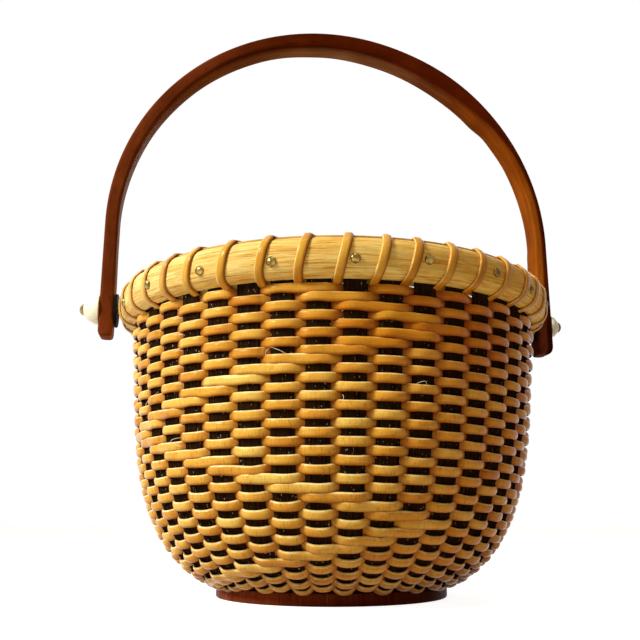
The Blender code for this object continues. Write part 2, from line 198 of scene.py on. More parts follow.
class Finish:
    """One material. Its methods add a node and give back the socket that comes out."""

    def __init__(self, name, metallic=0.0, specular=0.3, tint=(1, 1, 1), coat=0.0, coat_roughness=0.1):
        self.material = bpy.data.materials.new(name)
        self.material.use_nodes = True
        self.tree = self.material.node_tree
        self.shader = self.tree.nodes["Principled BSDF"]
        self.shader.inputs["Specular IOR Level"].default_value = specular
        self.shader.inputs["Specular Tint"].default_value = (*tint, 1.0)
        self.shader.inputs["Metallic"].default_value = metallic
        self.shader.inputs["Coat Weight"].default_value = coat
        self.shader.inputs["Coat Roughness"].default_value = coat_roughness

    def add(self, kind, inputs=(), **settings):
        made = self.tree.nodes.new("ShaderNode" + kind)
        for key, value in settings.items():
            setattr(made, key, value)
        for key, value in dict(inputs).items():
            self.feed(made.inputs[key], value)
        return made

    def feed(self, socket, value):
        if isinstance(value, bpy.types.NodeSocket):
            self.tree.links.new(value, socket)
        elif isinstance(value, tuple) and len(value) == 3 and socket.type == "RGBA":
            socket.default_value = (*value, 1.0)
        else:
            socket.default_value = value

    def place(self, scale=(1, 1, 1)):
        """Object coordinates, stretched."""
        found = self.add("TexCoord").outputs["Object"]
        return self.stretch(found, scale)

    def lie(self, scale=(1, 1, 1)):
        """The strand's own coordinates: length along it, share across it, tone."""
        found = self.add("Attribute", attribute_name="lay").outputs["Vector"]
        return self.stretch(found, scale)

    def stretch(self, vector, scale):
        made = self.add("VectorMath", {0: vector, 1: scale}, operation="MULTIPLY")
        return made.outputs["Vector"]

    def part(self, vector, axis):
        return self.add("SeparateXYZ", {"Vector": vector}).outputs[axis]

    def join(self, x, y, z):
        return self.add("CombineXYZ", {"X": x, "Y": y, "Z": z}).outputs["Vector"]

    def sum(self, operation, a, b=0.0):
        return self.add("Math", {0: a, 1: b}, operation=operation).outputs[0]

    def noise(self, vector, scale=1.0, detail=3.0, roughness=0.55, distortion=0.0):
        settings = {
            "Vector": vector,
            "Scale": scale,
            "Detail": detail,
            "Roughness": roughness,
            "Distortion": distortion,
        }
        return self.add("TexNoise", settings).outputs["Fac"]

    def range(self, value, low, high, to_low=0.0, to_high=1.0):
        limits = {0: value, 1: low, 2: high, 3: to_low, 4: to_high}
        return self.add("MapRange", limits, clamp=True).outputs["Result"]

    def ramp(self, value, stops):
        made = self.add("ValToRGB", {"Fac": value})
        points = made.color_ramp.elements
        while len(points) < len(stops):
            points.new(0.5)
        for point, (where, colour) in zip(points, stops):
            point.position = where
            point.color = (*colour, 1.0)
        return made.outputs["Color"]

    def mix(self, share, a, b, mode="MIX"):
        made = self.add("Mix", data_type="RGBA", blend_type=mode)
        self.feed(made.inputs[0], share)
        self.feed(made.inputs[6], a)
        self.feed(made.inputs[7], b)
        return made.outputs[2]

    def painted_side_shade(self, colour, stops):
        """Multiplies a colour by another that changes from the left to the right of the basket: painted light on
        the lit left, painted shade towards the right.
        """
        place = self.range(self.part(self.place(), "X"), -0.085, 0.085)
        return self.mix(1.0, colour, self.ramp(place, stops), "MULTIPLY")

    def bump(self, height, distance, strength=1.0):
        made = self.add("Bump", {"Height": height, "Distance": distance, "Strength": strength})
        self.feed(self.shader.inputs["Normal"], made.outputs["Normal"])

    def colour(self, value):
        self.feed(self.shader.inputs["Base Color"], value)

    def rough(self, value):
        self.feed(self.shader.inputs["Roughness"], value)


def cane_finish(name, dark, middle, light, edge, lit_edge_side=1, painted_light_left=0.0):
    """Glossy bark of cane: fine cross cracks, one edge pale, partly bare fibre and partly a painted highlight on
    the edge that faces the light, painted shade where it dives.

    Painted shade makes it redder to the right, below the rim there, and at the foot of the wall.
    """
    cane = Finish(name, specular=0.11, tint=(1.0, 0.80, 0.44))
    lay = cane.lie()
    tone = cane.part(lay, "Z")
    across = cane.sum("MULTIPLY", cane.part(lay, "Y"), lit_edge_side)
    drift = cane.noise(cane.lie((120.0, 0.4, 9.0)), detail=3.0)
    shade = cane.sum("ADD", cane.sum("MULTIPLY", tone, 0.50), cane.sum("MULTIPLY", drift, 0.62))
    bark = cane.ramp(shade, [(0.20, dark), (0.52, middle), (0.86, light)])
    fibre = cane.noise(cane.lie((90.0, 7.0, 3.0)), detail=3.0)
    streaks = cane.ramp(fibre, [(0.3, (0.70, 0.60, 0.50)), (0.62, (1, 1, 1))])
    bark = cane.mix(0.40, bark, streaks, "MULTIPLY")
    cracks = cane.noise(cane.lie((2300.0, 0.7, 31.0)), detail=2.0, roughness=0.6)
    lines = cane.ramp(cracks, [(0.30, (0.60, 0.45, 0.30)), (0.48, (1, 1, 1))])
    place = cane.place()
    height = cane.part(place, "Z")
    bark = cane.mix(cane.range(height, 0.080, 0.056, 0.25, 0.62), bark, lines, "MULTIPLY")
    # Pale edge: partly the bare fibre of a trimmed edge, partly a painted highlight, put only on the edge that
    # faces the light.
    pale_fibre_and_highlight_edge = cane.range(across, 0.70, 0.84)
    patchy = cane.range(cane.noise(cane.lie((420.0, 0.3, 5.0)), detail=2.0), 0.36, 0.60, 0.35, 0.95)
    bark = cane.mix(cane.sum("MULTIPLY", pale_fibre_and_highlight_edge, patchy), bark, edge)
    # Painted shade along the strand's lower edge.
    painted_underside_shade = cane.range(across, -0.34, -0.90)
    bark = cane.mix(painted_underside_shade, bark, (0.54, 0.34, 0.17), "MULTIPLY")
    # Painted shade: darker and redder towards the right, away from the light.
    bark = cane.painted_side_shade(
        bark,
        [
            (0.0, (1, 1, 1)),
            (0.32, (0.97, 0.94, 0.75)),
            (0.50, (0.97, 0.89, 0.63)),
            (0.68, (0.99, 0.81, 0.49)),
            (0.84, (0.89, 0.68, 0.27)),
            (1.0, (0.84, 0.60, 0.17)),
        ],
    )
    x = cane.part(place, "X")
    # Painted shadow of the rim on the highest courses, right of the middle.
    painted_rim_shadow = cane.sum("MULTIPLY", cane.range(height, 0.0735, 0.0775), cane.range(x, -0.055, 0.005))
    painted_rim_shadow = cane.sum("MULTIPLY", painted_rim_shadow, cane.range(x, 0.062, 0.040))
    painted_rim_shadow = cane.sum("MULTIPLY", painted_rim_shadow, cane.range(height, 0.0972, 0.0962))
    bark = cane.mix(painted_rim_shadow, bark, (0.84, 0.61, 0.23), "MULTIPLY")
    # Painted shade at the foot of the wall, next to the base.
    bark = cane.mix(cane.range(height, 0.034, 0.005), bark, (0.88, 0.74, 0.56), "MULTIPLY")
    # Painted light on the lashing's wraps at the far left.
    if painted_light_left:
        bark = cane.mix(cane.range(x, -0.056, -0.078, 0.0, painted_light_left), bark, (1.0, 0.72, 0.25))
    # Painted shade where the strand dives behind the staves and on its inner side.
    painted_dive_shade = cane.add("Attribute", attribute_name="painted_dive_shade").outputs["Fac"]
    cane.colour(cane.mix(painted_dive_shade, bark, (0.50, 0.30, 0.16), "MULTIPLY"))
    cane.rough(cane.range(fibre, 0.3, 0.7, 0.12, 0.26))
    relief = cane.sum("ADD", cane.sum("MULTIPLY", cracks, 0.5), fibre)
    cane.bump(relief, 0.00006, 0.6)
    return cane.material


def hoop_finish():
    """Pale straw wood with grain that runs round the hoop, with painted light on the left and painted shade to
    the right.
    """
    hoop = Finish("pale_hoop_wood", specular=0.035, tint=(1.0, 0.85, 0.6))
    place = hoop.place()
    radius = hoop.add("VectorMath", {0: hoop.stretch(place, (1, 1, 0))}, operation="LENGTH")
    radius = radius.outputs["Value"]
    turn = hoop.sum("ARCTAN2", hoop.part(place, "Y"), hoop.part(place, "X"))
    height = hoop.part(place, "Z")
    grain = hoop.join(
        hoop.sum("MULTIPLY", turn, 5.0),
        hoop.sum("MULTIPLY", height, 2300.0),
        hoop.sum("MULTIPLY", radius, 700.0),
    )
    lines = hoop.noise(grain, detail=6.0, roughness=0.70, distortion=0.10)
    broad = hoop.noise(hoop.stretch(grain, (1.4, 0.16, 0.2)), detail=2.0)
    wood = hoop.ramp(broad, [(0.3, (0.90, 0.56, 0.140)), (0.7, (1.0, 0.79, 0.32))])
    streak = hoop.ramp(
        lines, [(0.36, (0.50, 0.32, 0.13)), (0.46, (0.86, 0.76, 0.58)), (0.58, (1, 1, 1))]
    )
    fine = hoop.noise(hoop.stretch(grain, (2.5, 2.6, 2.0)), detail=3.0, roughness=0.7)
    hairs = hoop.ramp(fine, [(0.36, (0.62, 0.44, 0.26)), (0.47, (1, 1, 1))])
    wood = hoop.mix(0.7, wood, hairs, "MULTIPLY")
    wood = hoop.mix(0.9, wood, streak, "MULTIPLY")
    # Painted light on the left, paler and cooler; painted shade to the right, darker and more orange.
    hoop.colour(
        hoop.painted_side_shade(
            wood,
            [
                (0.0, (0.95, 0.96, 1.0)),
                (0.5, (1.0, 0.965, 0.78)),
                (0.8, (1.0, 0.86, 0.50)),
                (1.0, (0.97, 0.80, 0.44)),
            ],
        )
    )
    hoop.bump(lines, 0.00012, 0.7)
    hoop.rough(hoop.range(lines, 0.3, 0.7, 0.50, 0.30))
    return hoop.material


def cap_finish():
    """A strip of brown cane, its grain round the rim."""
    cap = Finish("cap_cane", specular=0.12, tint=(1.0, 0.85, 0.6))
    place = cap.place()
    turn = cap.sum("ARCTAN2", cap.part(place, "Y"), cap.part(place, "X"))
    radius = cap.add("VectorMath", {0: cap.stretch(place, (1, 1, 0))}, operation="LENGTH")
    grain = cap.join(
        cap.sum("MULTIPLY", turn, 6.0),
        cap.sum("MULTIPLY", cap.part(place, "Z"), 1800.0),
        cap.sum("MULTIPLY", radius.outputs["Value"], 1800.0),
    )
    lines = cap.noise(grain, detail=4.0, roughness=0.65)
    cap.colour(cap.ramp(lines, [(0.3, (0.36, 0.16, 0.03)), (0.5, (0.62, 0.35, 0.09)), (0.7, (0.8, 0.5, 0.16))]))
    cap.bump(lines, 0.00006, 0.6)
    cap.rough(cap.range(lines, 0.3, 0.7, 0.5, 0.35))
    return cap.material


def fibre_finish():
    """Loose pale fibres of cane."""
    fibre = Finish("loose_fibre", specular=0.12)
    shade = fibre.noise(fibre.lie((700.0, 1.0, 3.0)), detail=2.0)
    fibre.colour(fibre.ramp(shade, [(0.3, (0.80, 0.62, 0.36)), (0.65, (0.98, 0.90, 0.70))]))
    fibre.bump(shade, 0.00002, 0.4)
    fibre.rough(fibre.range(shade, 0.3, 0.7, 0.55, 0.35))
    return fibre.material


def base_finish():
    """Turned dark hardwood: boards' grain on the top, short upright pores on the side, painted light on the
    left, painted shade to the right.
    """
    wood = Finish("turned_base_wood", specular=0.008, tint=(1.0, 0.7, 0.5))
    place = wood.place()
    turn = wood.sum("ARCTAN2", wood.part(place, "Y"), wood.part(place, "X"))
    height = wood.part(place, "Z")
    radius = wood.add("VectorMath", {0: wood.stretch(place, (1, 1, 0))}, operation="LENGTH")
    side = wood.join(
        wood.sum("MULTIPLY", turn, 75.0),
        wood.sum("MULTIPLY", height, 90.0),
        wood.sum("MULTIPLY", radius.outputs["Value"], 40.0),
    )
    pores = wood.noise(side, detail=4.0, roughness=0.65)
    figure = wood.noise(wood.place((30.0, 210.0, 60.0)), detail=4.0, roughness=0.6, distortion=0.4)
    shade = wood.sum("ADD", wood.sum("MULTIPLY", pores, 0.55), wood.sum("MULTIPLY", figure, 0.45))
    body = wood.ramp(
        shade,
        [(0.30, (0.090, 0.011, 0.002)), (0.50, (0.20, 0.033, 0.007)), (0.72, (0.34, 0.090, 0.026))],
    )
    # Painted light and shade: brightest on the left, darker to the right.
    across = wood.range(wood.part(place, "X"), -BASE_RADIUS, BASE_RADIUS)
    light = wood.ramp(across, [(0.06, (1.0, 1.0, 1.0)), (0.35, (0.72, 0.62, 0.55)), (1.0, (0.27, 0.19, 0.18))])
    wood.colour(wood.mix(1.0, wood.mix(1.0, body, (1.45, 1.6, 1.8), "MULTIPLY"), light, "MULTIPLY"))
    wood.bump(shade, 0.00008, 0.5)
    wood.rough(wood.range(shade, 0.3, 0.7, 0.44, 0.28))
    return wood.material


def handle_finish():
    """Dark reddish hardwood, its grain along the bend, with painted light: lighter on the left, paler inside
    towards the right leg and below the top; painted shade at the right ear.
    """
    wood = Finish("bentwood", specular=0.003, tint=(1.0, 0.75, 0.55))
    lay = wood.lie()
    place = wood.place()
    x = wood.part(place, "X")
    # Painted light: the paler inner colour spreads over more of the section towards the right leg.
    low = wood.range(x, 0.045, 0.084, 0.82, 0.34)
    high = wood.range(x, 0.045, 0.084, 1.03, 0.52)
    painted_inner_light_share = wood.range(wood.part(lay, "Z"), low, high)
    grain = wood.noise(wood.lie((22.0, 4.0, 1.0)), detail=5.0, roughness=0.62, distortion=0.25)
    pores = wood.noise(wood.lie((140.0, 20.0, 4.0)), detail=3.0, roughness=0.6)
    cloud = wood.noise(wood.place((46.0, 60.0, 46.0)), detail=2.0)
    shade = wood.sum("ADD", wood.sum("MULTIPLY", grain, 0.5), wood.sum("MULTIPLY", cloud, 0.5))
    # Outer faces: painted light on the left, darker to the right.
    across = wood.range(x, -0.09, 0.09)
    outer = wood.ramp(
        across, [(0.05, (0.225, 0.046, 0.010)), (0.45, (0.125, 0.0165, 0.0016)), (0.95, (0.125, 0.0150, 0.0014))]
    )
    # Inner faces: painted light, palest below the top and on the right leg.
    inner = wood.ramp(
        across,
        [
            (0.20, (0.42, 0.120, 0.012)),
            (0.34, (0.45, 0.160, 0.040)),
            (0.50, (0.62, 0.300, 0.130)),
            (0.66, (0.50, 0.200, 0.070)),
            (0.80, (0.27, 0.060, 0.006)),
            (0.95, (0.42, 0.098, 0.006)),
            (0.98, (0.52, 0.135, 0.010)),
        ],
    )
    figure = wood.ramp(shade, [(0.30, (0.36, 0.28, 0.25)), (0.50, (0.60, 0.56, 0.54)), (0.72, (1, 1, 1))])
    body = wood.mix(1.0, wood.mix(painted_inner_light_share, outer, inner), figure, "MULTIPLY")
    height = wood.part(place, "Z")
    # Painted shade on the lower right leg at its ear.
    painted_right_ear_shade = wood.sum("MULTIPLY", wood.range(x, 0.05, 0.08), wood.range(height, 0.118, 0.104))
    body = wood.mix(painted_right_ear_shade, body, (0.48, 0.43, 2.4), "MULTIPLY")
    pore = wood.ramp(pores, [(0.32, (0.5, 0.42, 0.36)), (0.46, (1, 1, 1))])
    wood.colour(wood.mix(0.6, body, pore, "MULTIPLY"))
    wood.bump(pores, 0.00005, 0.5)
    wood.rough(wood.range(pores, 0.3, 0.6, 0.46, 0.32))
    return wood.material


def stave_finish():
    """Near black stained wood with streaks up its length and painted glints, most on the left."""
    wood = Finish("black_staves", specular=0.0)
    streaks = wood.noise(wood.lie((30.0, 9.0, 5.0)), detail=4.0, roughness=0.6)
    body = wood.ramp(streaks, [(0.35, (0.0080, 0.0028, 0.0005)), (0.7, (0.036, 0.0170, 0.0060))])
    place = wood.place()
    # Painted glints: pale specks, fewer towards the right, away from the light.
    specks = wood.noise(wood.stretch(place, (1300.0, 1300.0, 620.0)), detail=2.0, roughness=0.6)
    glints = wood.range(specks, 0.665, 0.715, 0.0, 0.55)
    glints = wood.sum("MULTIPLY", glints, wood.range(wood.part(place, "X"), 0.07, -0.02, 0.25, 1.0))
    wood.colour(wood.mix(glints, body, (0.62, 0.50, 0.38)))
    wood.bump(streaks, 0.00006, 0.6)
    wood.rough(wood.range(streaks, 0.35, 0.65, 0.5, 0.38))
    return wood.material


def ebony_finish():
    wood = Finish("ebony", specular=0.012)
    wood.shader.inputs["Roughness"].default_value = 0.42
    rings = wood.noise(wood.place((300.0, 900.0, 900.0)), detail=3.0)
    wood.colour(wood.ramp(rings, [(0.35, (0.005, 0.004, 0.003)), (0.7, (0.013, 0.010, 0.007))]))
    wood.bump(rings, 0.00004, 0.5)
    return wood.material


def bone_finish():
    """Cream bone with faint veins."""
    bone = Finish("bone", specular=0.4, coat=0.1, coat_roughness=0.15)
    bone.shader.inputs["Roughness"].default_value = 0.32
    bone.shader.inputs["Subsurface Weight"].default_value = 0.15
    bone.shader.inputs["Subsurface Radius"].default_value = (0.0012, 0.0009, 0.0006)
    veins = bone.noise(bone.place((260.0, 900.0, 900.0)), detail=4.0, roughness=0.6)
    bone.colour(bone.ramp(veins, [(0.3, (0.80, 0.73, 0.49)), (0.6, (0.86, 0.81, 0.60))]))
    bone.bump(veins, 0.00003, 0.4)
    return bone.material


def brass_finish():
    """Old brass, a little tarnished, with painted shade towards the right."""
    brass = Finish("brass", metallic=1.0)
    tarnish = brass.noise(brass.place((700.0, 700.0, 700.0)), detail=3.0)
    metal = brass.ramp(tarnish, [(0.35, (0.13, 0.082, 0.018)), (0.65, (0.44, 0.31, 0.10))])
    # Painted shade: darker towards the right.
    brass.colour(
        brass.painted_side_shade(metal, [(0.0, (1, 1, 1)), (0.55, (0.85, 0.80, 0.65)), (0.72, (0.45, 0.38, 0.26))])
    )
    brass.rough(brass.range(tarnish, 0.3, 0.7, 0.36, 0.18))
    brass.bump(tarnish, 0.00003, 0.4)
    return brass.material


FINISHES = {
    "cane": cane_finish(
        "woven_cane", (0.57, 0.19, 0.016), (0.83, 0.43, 0.058), (0.94, 0.65, 0.160), (1.0, 0.88, 0.50)
    ),
    # The lashing's pale edge goes on its lit left side, and its far left wraps get painted light.
    "lash": cane_finish(
        "lashing_cane", (0.52, 0.21, 0.020), (0.70, 0.35, 0.048), (0.84, 0.52, 0.11), (0.98, 0.78, 0.36),
        lit_edge_side=-1,
        painted_light_left=0.40,
    ),
    "hoop": hoop_finish(),
    "cap": cap_finish(),
    "fibre": fibre_finish(),
    "base": base_finish(),
    "handle": handle_finish(),
    "stave": stave_finish(),
    "ebony": ebony_finish(),
    "bone": bone_finish(),
    "brass": brass_finish(),
}


# Shapes


def finish_piece(name, shape, finish, body, nodes=(), sharp=40):
    """Makes the object, gives it its finish and sets it on its body."""
    bmesh.ops.recalc_face_normals(shape, faces=shape.faces)
    mesh = bpy.data.meshes.new(name)
    shape.to_mesh(mesh)
    shape.free()
    obj = bpy.data.objects.new(name, mesh)
    bpy.context.scene.collection.objects.link(obj)
    mesh.materials.append(FINISHES[finish])
    mesh.shade_smooth()
    mesh.set_sharp_from_angle(angle=math.radians(sharp))
    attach(obj, body)
    if nodes:
        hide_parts(*nodes)
    return obj


def outline_of(points, corners=(), size=0.0003):
    """A closed outline in the XZ plane, with the corners of those numbers rounded."""
    shape = bmesh.new()
    corner = [shape.verts.new((x, 0.0, z)) for x, z in points]
    shape.faces.new(corner)
    if corners:
        bmesh.ops.bevel(
            shape,
            geom=[corner[i] for i in corners],
            offset=size,
            offset_type="OFFSET",
            segments=3,
            profile=0.5,
            affect="VERTICES",
            material=-1,
        )
    bmesh.ops.delete(shape, geom=shape.faces[:], context="FACES_ONLY")
    return shape


def turn(shape, steps, centre=(0, 0, 0), axis=(0, 0, 1)):
    """Spins an outline into a turned piece and closes its poles."""
    bmesh.ops.spin(
        shape,
        geom=shape.verts[:] + shape.edges[:],
        cent=centre,
        axis=axis,
        angle=2 * math.pi,
        steps=steps,
        use_merge=True,
    )
    bmesh.ops.remove_doubles(shape, verts=shape.verts, dist=0.000002)
    bmesh.ops.dissolve_degenerate(shape, edges=shape.edges, dist=0.000001)
    return shape


def bar(section, rings):
    """A straight bar of that section, its rings one apart along Z and its seam closed."""
    corners = len(section)
    shape = bmesh.new()
    bmesh.ops.create_grid(shape, x_segments=corners, y_segments=rings - 1, size=0.5)
    for vertex in shape.verts:
        x, y = section[round((vertex.co.x + 0.5) * corners) % corners]
        vertex.co = (x, y, round((vertex.co.y + 0.5) * (rings - 1)))
    bmesh.ops.remove_doubles(shape, verts=shape.verts, dist=0.0001)
    ends = [edge for edge in shape.edges if edge.is_boundary]
    bmesh.ops.holes_fill(shape, edges=ends, sides=0)
    return shape


def lay_bar(shape, places):
    """Bends a bar onto its places, each (centre, across, through, length, tone, painted shade)."""
    lay = shape.verts.layers.float_vector.new("lay")
    painted_dive_shade = shape.verts.layers.float.new("painted_dive_shade")
    for vertex in shape.verts:
        x, y, ring = vertex.co
        centre, across, through, length, tone, dive_shade_share = places[round(ring)]
        vertex[lay] = (length, x, tone)
        # Painted shade: set by the weave, and at least 0.8 on the strand's inner side.
        vertex[painted_dive_shade] = dive_shade_share if y > -0.1 else max(dive_shade_share, 0.8)
        vertex.co = centre + across * x + through * y
    return shape


STRIP_SECTION = (
    (-1.0, -0.10),
    (-0.91, 0.15),
    (-0.70, 0.34),
    (-0.36, 0.46),
    (0.0, 0.50),
    (0.34, 0.46),
    (0.64, 0.36),
    (0.88, 0.16),
    (1.0, -0.08),
    (1.0, -0.30),
    (0.88, -0.48),
    (0.3, -0.50),
    (-0.3, -0.50),
    (-0.88, -0.48),
    (-1.0, -0.30),
)


# Base


def make_base():
    ring = 0.0005
    outline = [
        (0.0, BASE_TOP - 2 * ring),
        (0.0095, BASE_TOP - 2 * ring),
        (0.0100, BASE_TOP - 3 * ring),
        (0.0108, BASE_TOP - 3 * ring),
        (0.0113, BASE_TOP - 2 * ring),
        (0.0345, BASE_TOP - 2 * ring),
        (0.0352, BASE_TOP - 3 * ring),
        (0.0362, BASE_TOP),
        (BASE_TOP_RADIUS, BASE_TOP),
        (BASE_TOP_RADIUS, GROOVE_ROOF),
        (BASE_RADIUS - GROOVE_DEPTH, GROOVE_ROOF),
        (BASE_RADIUS - GROOVE_DEPTH, GROOVE_FLOOR),
        (BASE_RADIUS, GROOVE_FLOOR),
        (BASE_RADIUS, 0.0),
        (BASE_RADIUS - 0.0050, 0.0),
        (BASE_RADIUS - 0.0060, 0.0006),
        (0.0, 0.0006),
    ]
    shape = bmesh.new()
    corner = [shape.verts.new((x, 0.0, z)) for x, z in outline]
    for low, high in zip(corner, corner[1:]):
        shape.edges.new((low, high))
    turn(shape, 168)
    rounded = [
        edge
        for edge in shape.edges
        if all(
            abs(Vector(vertex.co.xy).length - radius) < 1e-5 and abs(vertex.co.z - height) < 1e-5
            for vertex in edge.verts
            for radius, height in [(BASE_RADIUS, 0.0)]
        )
    ]
    bmesh.ops.bevel(
        shape,
        geom=rounded,
        offset=0.0006,
        offset_type="OFFSET",
        segments=4,
        profile=0.5,
        affect="EDGES",
        material=-1,
    )
    softened = [
        edge
        for edge in shape.edges
        if all(
            abs(Vector(vertex.co.xy).length - BASE_TOP_RADIUS) < 1e-5
            and abs(vertex.co.z - BASE_TOP) < 1e-5
            for vertex in edge.verts
        )
        or all(
            abs(Vector(vertex.co.xy).length - BASE_RADIUS) < 1e-5
            and abs(vertex.co.z - GROOVE_FLOOR) < 1e-5
            for vertex in edge.verts
        )
    ]
    bmesh.ops.bevel(
        shape,
        geom=softened,
        offset=0.0005,
        offset_type="OFFSET",
        segments=3,
        profile=0.5,
        affect="EDGES",
        material=-1,
    )
    finish_piece("turned_base", shape, "base", "basket", ["base"])


# Staves


def make_staves():
    section = [
        (-1.0, -0.4),
        (-0.93, -0.5),
        (0.93, -0.5),
        (1.0, -0.4),
        (1.0, 0.22),
        (0.90, 0.42),
        (0.45, 0.5),
        (-0.45, 0.5),
        (-0.90, 0.42),
        (-1.0, 0.22),
    ]
    rings = 46
    top = RIM_FOOT + RIM_HEIGHT
    whole = bmesh.new()
    for number in range(STAVE_COUNT):
        angle = number * BAY
        chance = random.Random(number)
        tone = chance.random()
        shape = bar(section, rings)
        places = []
        for ring in range(rings):
            share = ring / (rings - 1)
            along = -GROOVE_DEPTH * 0.94 if ring == 0 else top * ((ring - 1) / (rings - 2)) ** 1.35
            width = STAVE_FOOT_WIDTH + (STAVE_WIDTH - STAVE_FOOT_WIDTH) * math.sin(
                min(1.0, max(0.0, along / STAVE_TAPER_LENGTH)) * math.pi / 2
            )
            centre = around(*wall(along, -STAVE_THICKNESS / 2), angle)
            out = around(*wall(along, STAVE_THICKNESS), angle) - around(*wall(along), angle)
            side = around(0.0, 0.0, angle, width / 2)
            places.append((centre, side, out, share * 0.12, tone, 0.0))
        lay_bar(shape, places)
        bmesh.ops.recalc_face_normals(shape, faces=shape.faces)
        add_to(whole, shape)
    names = [f"stave_{number + 1:02d}" for number in range(STAVE_COUNT)]
    finish_piece("tapered_staves", whole, "stave", "basket", names)


def add_to(whole, shape):
    """Moves one bmesh into another."""
    mesh = bpy.data.meshes.new("carried")
    shape.to_mesh(mesh)
    shape.free()
    whole.from_mesh(mesh)
    bpy.data.meshes.remove(mesh)


# Cane weave


def is_over(course, column):
    """Whether the strand passes outside a stave. One double float a course steps aside."""
    step = (course - 4) % 22
    double = 8 - min(step, 22 - step)
    if column <= double:
        return (double - column) % 2 == 0
    return (column - double - 1) % 2 == 0


def weave_stops():
    """What changes from stave to stave: side, reach, drift, width and tone of each float."""
    chance = random.Random(7)
    stops = []
    tone = 0.5
    for stop in range(COURSE_COUNT * STAVE_COUNT + LAST_BAYS + 1):
        course, column = divmod(stop, STAVE_COUNT)
        side = 1 if is_over(course, column + FIRST_COLUMN) else -1
        if not stops or stops[-1][0] < 0 or side < 0:
            tone = min(1.0, max(0.0, chance.gauss(0.5, 0.21)))
        stops.append(
            (
                side,
                chance.uniform(0.92, 1.10),
                chance.gauss(0.0, 0.00011),
                chance.uniform(0.93, 1.05),
                tone,
                chance.gauss(0.0, 0.05),
            )
        )
    return stops


def weave_places():
    """Every ring's place along the whole strand, from the rim down to the base."""
    stops = weave_stops()
    last = FIRST_COURSE + (COURSE_COUNT - 1) * COURSE_PITCH
    hug = STAVE_THICKNESS / 2 + CANE_THICKNESS / 2
    reach = hug + STAND_OFF
    places = []
    for ring in range((len(stops) - 2) * RINGS_TO_A_BAY + 1):
        stop, step = divmod(ring, RINGS_TO_A_BAY)
        part = step / RINGS_TO_A_BAY
        here, beyond = stops[stop], stops[stop + 1]
        near = here if part < 0.5 else beyond
        straight = 0.0
        if here[0] == beyond[0]:
            straight = math.sin(math.pi * part)
            sway = here[0] * blend(here[1], beyond[1], part) * (1 - 0.26 * straight)
        else:
            swing = math.cos(math.pi * part)
            sway = here[0] * swing * (1.34 - 0.34 * swing * swing) * near[1]
        stand_off = reach if sway > 0 else hug
        along = last - ((stop + part) / STAVE_COUNT - FRONT_SHARE) * COURSE_PITCH
        along += blend(here[2], beyond[2], ease(part)) - 0.0001 * straight
        along = max(LOWEST_COURSE, along)
        past = stop + part - COURSE_COUNT * STAVE_COUNT
        above = last - ((stop + part) / STAVE_COUNT - 1 - FRONT_SHARE) * COURSE_PITCH
        room = max(LOWEST_COURSE, above) - CANE_WIDTH / 2 - TUCKED_FOOT
        tucked = ease((past - TUCKED_FROM) / 8)
        along = blend(along, TUCKED_FOOT + room / 2, tucked)
        angle = (FIRST_COLUMN + stop + part + COLUMN_TO_STAVE) * BAY
        centre = around(*wall(along, -STAVE_THICKNESS / 2 + stand_off * sway), angle)
        up = around(*wall(along + 0.0001), angle) - around(*wall(along - 0.0001), angle)
        width = CANE_WIDTH * blend(here[3], beyond[3], part) if sway > 0 else CANE_INSIDE_WIDTH
        width = blend(CANE_CROSSING_WIDTH, width, min(1.0, abs(sway)))
        width += 0.0003 * straight
        width *= blend(1.0, room / CANE_WIDTH, tucked)
        # How much painted shade the strand gets, most where it dives behind a stave.
        dive_shade_share = ease(0.62 - 0.75 * sway)
        tilt = blend(here[5], beyond[5], part)
        places.append((centre, up.normalized(), width, tilt, near[4], dive_shade_share))
    return places


def make_weave():
    places = weave_places()
    laid = []
    length = 0.0
    for i, (centre, up, width, tilt, tone, dive_shade_share) in enumerate(places):
        before = places[max(0, i - 1)][0]
        after = places[min(len(places) - 1, i + 1)][0]
        through = up.cross(after - before).normalized()
        if through.dot(Vector((centre.x, centre.y, 0.0))) < 0:
            through.negate()
        length += (centre - before).length
        across, through = up + through * tilt, through - up * tilt
        laid.append((centre, across * (width / 2), through * CANE_THICKNESS, length, tone, dive_shade_share))
    parts = 3
    share = len(laid) // parts
    for part, name in enumerate(("upper_weave", "middle_weave", "lower_weave")):
        start = part * share
        end = len(laid) if part == parts - 1 else (part + 1) * share + 1
        shape = lay_bar(bar(STRIP_SECTION, end - start), laid[start:end])
        nodes = ["cane_weave"] if part == 0 else []
        finish_piece(name, shape, "cane", "basket", nodes, sharp=80)


